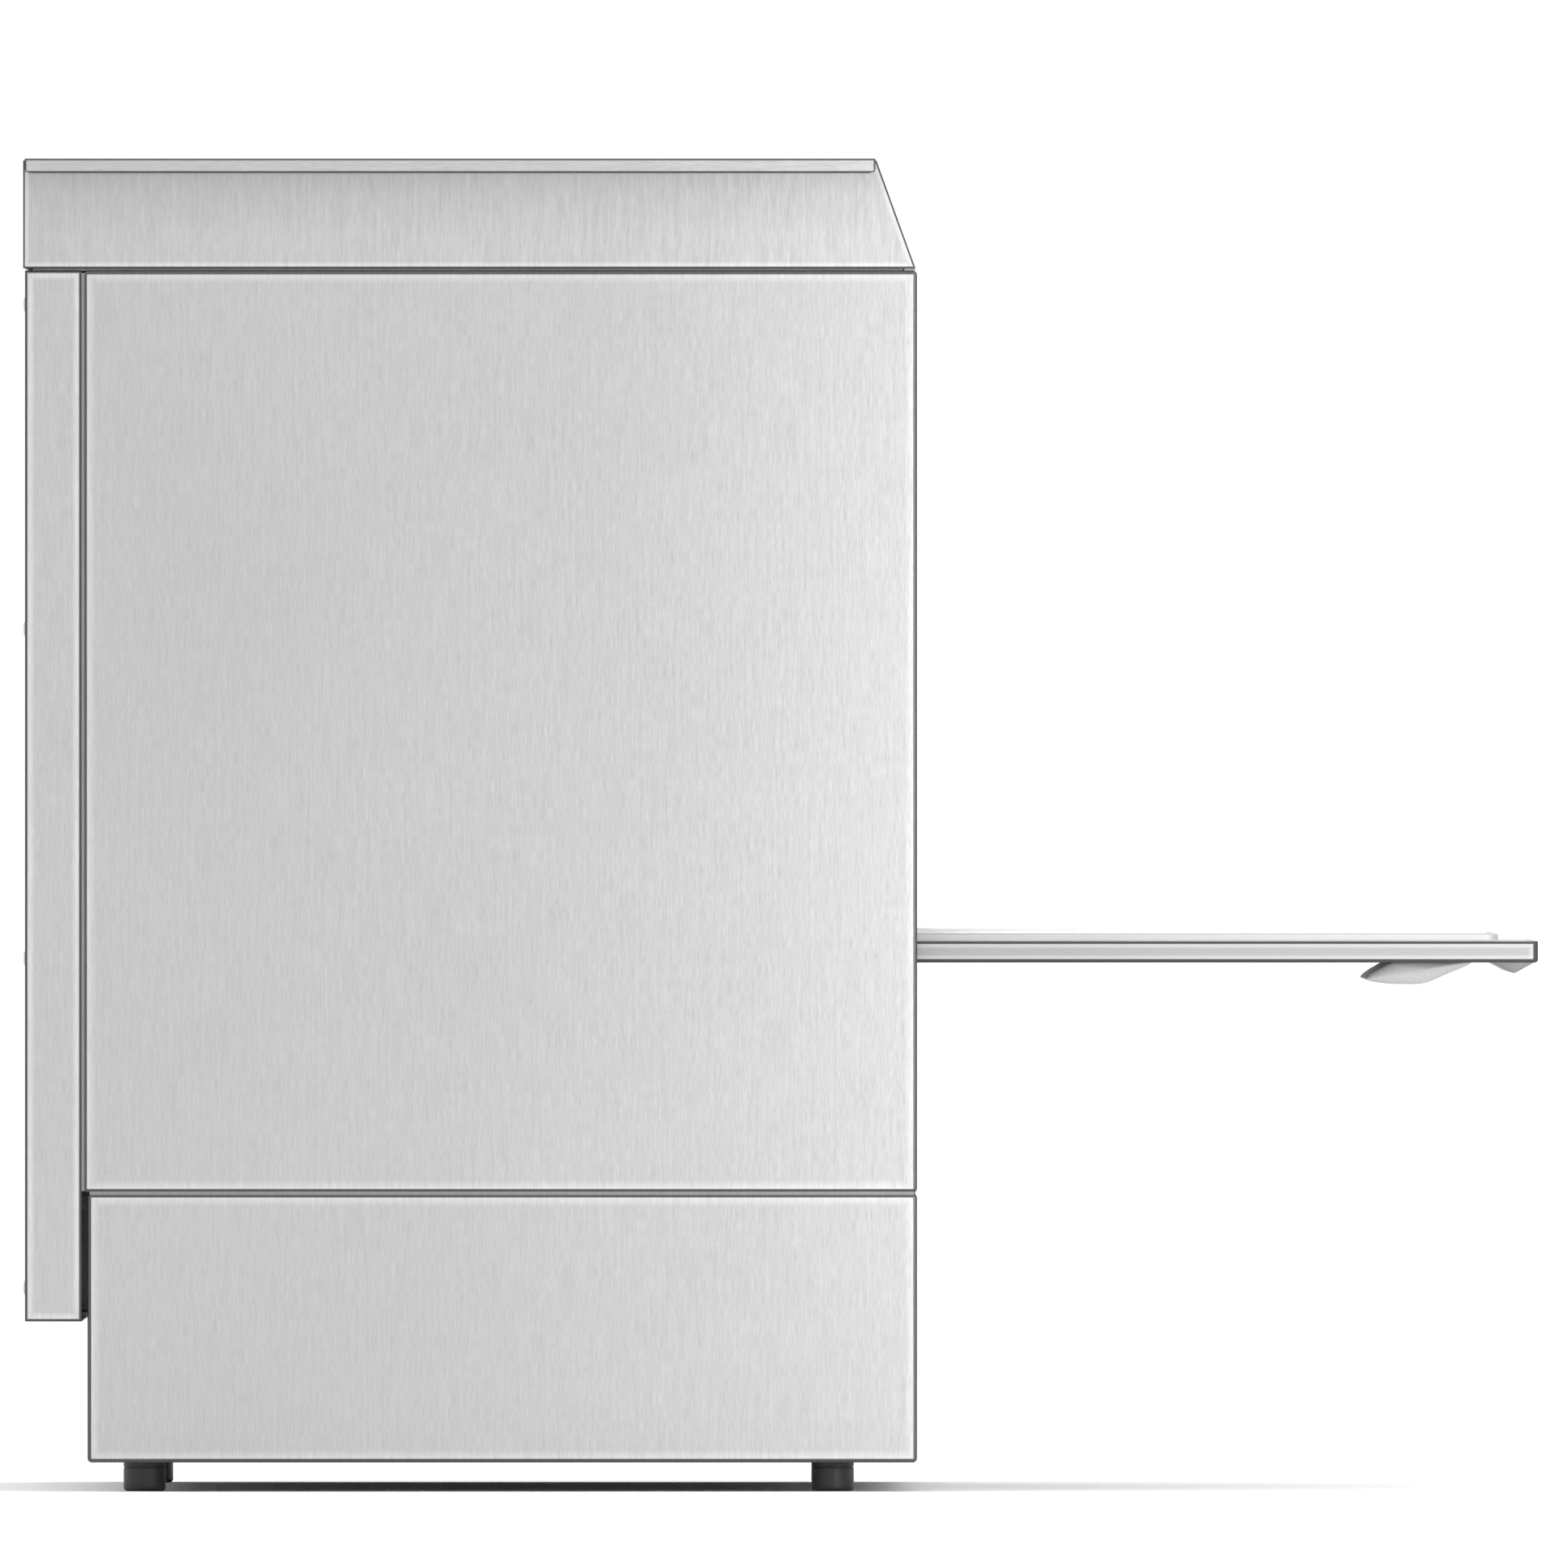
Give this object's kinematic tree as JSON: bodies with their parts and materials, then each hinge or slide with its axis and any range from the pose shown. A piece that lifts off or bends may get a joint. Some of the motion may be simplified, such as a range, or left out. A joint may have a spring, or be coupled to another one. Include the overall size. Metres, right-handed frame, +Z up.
{
  "type": "undercounter dishwasher",
  "caption": "Undercounter commercial dishwasher with a drop-down door, brushed steel cabinet on feet, sliding glass rack, spray arms, tank and pumps.",
  "frame": {"origin": "on the floor under the centre of the whole object's box, with the door open", "axes": "+Z up, the front with its door faces -Y, +Y runs to the rear cover, +X to the right when facing the front"},
  "size_m": [0.6, 0.966, 0.85],
  "materials": {
    "brushed_steel": "vertical brushed grain, satin",
    "plain_steel": "mill finish, satin",
    "pull_casting": "satin",
    "black_rubber": "matt",
    "black_plastic": "moulded satin",
    "grey_plastic": "moulded",
    "cast_motor": "painted casting",
    "brass_fittings": "turned",
    "display_glass": "gloss",
    "board_green": "coated board",
    "button_green": "gloss",
    "button_white": "gloss",
    "rack_plastic": "grained polypropylene",
    "mineral_wool": "fibrous"
  },
  "bodies": {
    "cabinet": {"base_frame": "plain_steel", "floor_pan": "plain_steel", "rear_service_plate": "plain_steel", "side_panel_left": "brushed_steel", "side_panel_right": "brushed_steel", "base_panel_left": "brushed_steel", "base_panel_right": "brushed_steel", "lower_front_panel": "brushed_steel", "front_apron": "brushed_steel", "rear_cover": "brushed_steel", "cover_screws": "plain_steel", "hood": "brushed_steel", "top_lid": "brushed_steel", "top_deck": "plain_steel", "control_fascia": "brushed_steel", "display_window": "display_glass", "control_board": "board_green", "wash_chamber": "plain_steel", "wash_tank": "plain_steel", "tank_strainers": "plain_steel", "rack_rails": "plain_steel", "door_gasket": "black_rubber", "lower_spindle": "plain_steel", "upper_spindle": "plain_steel", "tank_heater": "plain_steel", "wash_pump": "black_plastic", "pump_motor": "cast_motor", "suction_hose": "black_rubber", "wash_pipes": "grey_plastic", "boiler": "plain_steel", "rinse_pipes": "plain_steel", "drain_pump": "black_plastic", "drain_hose": "black_rubber", "inlet_valve": "grey_plastic", "inlet_hose": "grey_plastic", "dosing_pumps": "grey_plastic", "terminal_box": "black_plastic", "pipe_fittings": "brass_fittings", "hinge_brackets": "plain_steel", "counter_springs": "plain_steel", "door_switch": "black_plastic", "feet": "black_plastic", "foot_studs": "plain_steel"},
    "door": {"door_outer_skin": "brushed_steel", "door_inner_panel": "brushed_steel", "door_insulation": "mineral_wool", "door_handle": "pull_casting", "hinge_arms": "plain_steel"},
    "rack": {"glass_rack": "rack_plastic"},
    "lower_wash_arm": {"lower_wash_arm": "plain_steel"},
    "lower_rinse_arm": {"lower_rinse_arm": "plain_steel"},
    "upper_wash_arm": {"upper_wash_arm": "plain_steel"},
    "upper_rinse_arm": {"upper_rinse_arm": "plain_steel"},
    "filter_basket": {"filter_basket": "plain_steel"},
    "overflow_pipe": {"overflow_pipe": "black_plastic"},
    "power_button": {"power_button": "button_green"},
    "start_button": {"start_button": "button_white"},
    "short_button": {"short_button": "button_white"},
    "normal_button": {"normal_button": "button_white"},
    "long_button": {"long_button": "button_white"}
  },
  "joints": [
    {"name": "door_hinge", "type": "hinge", "parent": "cabinet", "child": "door", "pos_m": [0, -0.065, 0.35925], "axis": [-1, 0, 0], "range_deg": [0, 90]},
    {"name": "rack_slide", "type": "slide", "parent": "cabinet", "child": "rack", "axis": [0, 1, 0], "range_m": [-0.282, 0]},
    {"name": "filter_lift", "type": "slide", "parent": "cabinet", "child": "filter_basket", "axis": [0, 0, 1], "range_m": [0, 0.03]},
    {"name": "overflow_lift", "type": "slide", "parent": "cabinet", "child": "overflow_pipe", "axis": [0, 0, 1], "range_m": [0, 0.03]},
    {"name": "lower_wash_arm_spin", "type": "hinge", "parent": "cabinet", "child": "lower_wash_arm", "pos_m": [0, 0.187, 0.336], "axis": [0, 0, 1], "continuous": true},
    {"name": "lower_rinse_arm_spin", "type": "hinge", "parent": "cabinet", "child": "lower_rinse_arm", "pos_m": [0, 0.187, 0.351], "axis": [0, 0, 1], "continuous": true},
    {"name": "upper_wash_arm_spin", "type": "hinge", "parent": "cabinet", "child": "upper_wash_arm", "pos_m": [0, 0.187, 0.751], "axis": [0, 0, 1], "continuous": true},
    {"name": "upper_rinse_arm_spin", "type": "hinge", "parent": "cabinet", "child": "upper_rinse_arm", "pos_m": [0, 0.187, 0.736], "axis": [0, 0, 1], "continuous": true},
    {"name": "press_power", "type": "slide", "parent": "cabinet", "child": "power_button", "axis": [0, 0.9403, -0.3404], "range_m": [0, 0.0025], "stiffness_N_per_m": 300},
    {"name": "press_start", "type": "slide", "parent": "cabinet", "child": "start_button", "axis": [0, 0.9403, -0.3404], "range_m": [0, 0.0025], "stiffness_N_per_m": 300},
    {"name": "press_short", "type": "slide", "parent": "cabinet", "child": "short_button", "axis": [0, 0.9403, -0.3404], "range_m": [0, 0.0025], "stiffness_N_per_m": 300},
    {"name": "press_normal", "type": "slide", "parent": "cabinet", "child": "normal_button", "axis": [0, 0.9403, -0.3404], "range_m": [0, 0.0025], "stiffness_N_per_m": 300},
    {"name": "press_long", "type": "slide", "parent": "cabinet", "child": "long_button", "axis": [0, 0.9403, -0.3404], "range_m": [0, 0.0025], "stiffness_N_per_m": 300}
  ]
}
